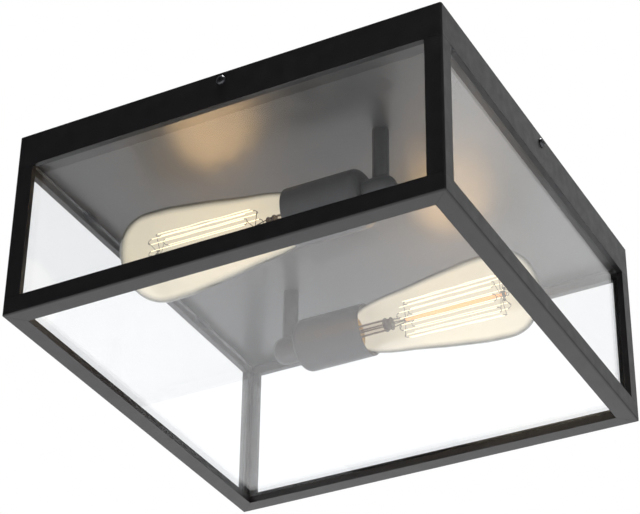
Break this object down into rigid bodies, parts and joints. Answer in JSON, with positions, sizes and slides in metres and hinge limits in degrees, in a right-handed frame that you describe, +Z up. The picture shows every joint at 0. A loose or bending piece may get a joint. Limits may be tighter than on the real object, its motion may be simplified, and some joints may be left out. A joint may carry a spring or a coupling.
{
  "type": "porch ceiling lantern",
  "caption": "Square glazed ceiling lantern: black steel cage with clear panes under a shallow pan that carries side-facing lamp holders on short stems, with pear-shaped filament bulbs.",
  "frame": {"origin": "middle of the ceiling face, at the centre of the mounting strap's slots; the lantern hangs below it", "axes": "+Z up into the ceiling, -Y towards the front, +X towards the right of someone who looks at the front; the lamp axes lie along X"},
  "size_m": [0.3086, 0.3086, 0.138],
  "materials": {
    "frame_paint": "satin black powder coat",
    "clear_glass": "clear float glass",
    "spring_steel": "blued spring steel",
    "zinc_steel": "zinc plated",
    "pan_enamel": "satin grey stoved enamel",
    "earth_green": "green lacquer",
    "block_plastic": "moulded",
    "screw_steel": "blackened, worn bright at the rim",
    "lead_sleeve": "extruded",
    "holder_enamel": "satin grey stoved enamel",
    "socket_ceramic": "unglazed",
    "brass_sheet": "pressed",
    "amber_glass": "amber tinted, blown",
    "cap_brass": "rolled thread",
    "cap_black_glass": "black glass",
    "solder": "solder",
    "mount_glass": "drawn glass",
    "lead_wire": "oxidised wire",
    "glowing_filament": "glowing carbon thread"
  },
  "bodies": {
    "ceiling_unit": {"ceiling_pan": "pan_enamel", "mounting_strap": "zinc_steel", "pan_studs": "zinc_steel", "stud_nuts": "zinc_steel", "cap_nuts": "pan_enamel", "earth_screw": "earth_green", "terminal_block": "block_plastic", "stem_washers": "zinc_steel", "stem_nuts": "zinc_steel", "rear_lamp_leads": "lead_sleeve", "rear_stem": "holder_enamel", "rear_hub": "holder_enamel", "rear_socket_cover": "holder_enamel", "rear_socket_insulator": "socket_ceramic", "rear_screw_shell": "brass_sheet", "rear_centre_contact": "brass_sheet", "front_lamp_leads": "lead_sleeve", "front_stem": "holder_enamel", "front_hub": "holder_enamel", "front_socket_cover": "holder_enamel", "front_socket_insulator": "socket_ceramic", "front_screw_shell": "brass_sheet", "front_centre_contact": "brass_sheet"},
    "glass_cage": {"top_rail_front": "frame_paint", "top_rail_right": "frame_paint", "top_rail_back": "frame_paint", "top_rail_left": "frame_paint", "bottom_rail_front": "frame_paint", "bottom_rail_right": "frame_paint", "bottom_rail_back": "frame_paint", "bottom_rail_left": "frame_paint", "corner_post_front_right": "frame_paint", "corner_post_back_right": "frame_paint", "corner_post_back_left": "frame_paint", "corner_post_front_left": "frame_paint", "side_pane_front": "clear_glass", "side_pane_right": "clear_glass", "side_pane_back": "clear_glass", "side_pane_left": "clear_glass", "bottom_pane": "clear_glass", "pane_clips": "spring_steel", "clinch_nuts": "zinc_steel"},
    "front_screw": {"side_screw_front": "screw_steel"},
    "right_screw": {"side_screw_right": "screw_steel"},
    "back_screw": {"side_screw_back": "screw_steel"},
    "left_screw": {"side_screw_left": "screw_steel"},
    "rear_lamp": {"rear_bulb_glass": "amber_glass", "rear_bulb_cap": "cap_brass", "rear_cap_insulator": "cap_black_glass", "rear_cap_contact": "solder", "rear_bulb_mount": "mount_glass", "rear_bulb_spider": "lead_wire", "rear_bulb_filament": "glowing_filament"},
    "front_lamp": {"front_bulb_glass": "amber_glass", "front_bulb_cap": "cap_brass", "front_cap_insulator": "cap_black_glass", "front_cap_contact": "solder", "front_bulb_mount": "mount_glass", "front_bulb_spider": "lead_wire", "front_bulb_filament": "glowing_filament"}
  },
  "joints": [
    {"name": "cage_drop", "type": "slide", "parent": "ceiling_unit", "child": "glass_cage", "axis": [0, 0, -1], "range_m": [0, 0.15]},
    {"name": "front_screw_back_out", "type": "slide", "parent": "glass_cage", "child": "front_screw", "axis": [0, -1, 0], "range_m": [0, 0.008]},
    {"name": "right_screw_back_out", "type": "slide", "parent": "glass_cage", "child": "right_screw", "axis": [1, 0, 0], "range_m": [0, 0.008]},
    {"name": "back_screw_back_out", "type": "slide", "parent": "glass_cage", "child": "back_screw", "axis": [0, 1, 0], "range_m": [0, 0.008]},
    {"name": "left_screw_back_out", "type": "slide", "parent": "glass_cage", "child": "left_screw", "axis": [-1, 0, 0], "range_m": [0, 0.008]},
    {"name": "rear_lamp_unscrew", "type": "slide", "parent": "ceiling_unit", "child": "rear_lamp", "axis": [1, 0, 0], "range_m": [0, 0.029]},
    {"name": "front_lamp_unscrew", "type": "slide", "parent": "ceiling_unit", "child": "front_lamp", "axis": [-1, 0, 0], "range_m": [0, 0.029]}
  ]
}
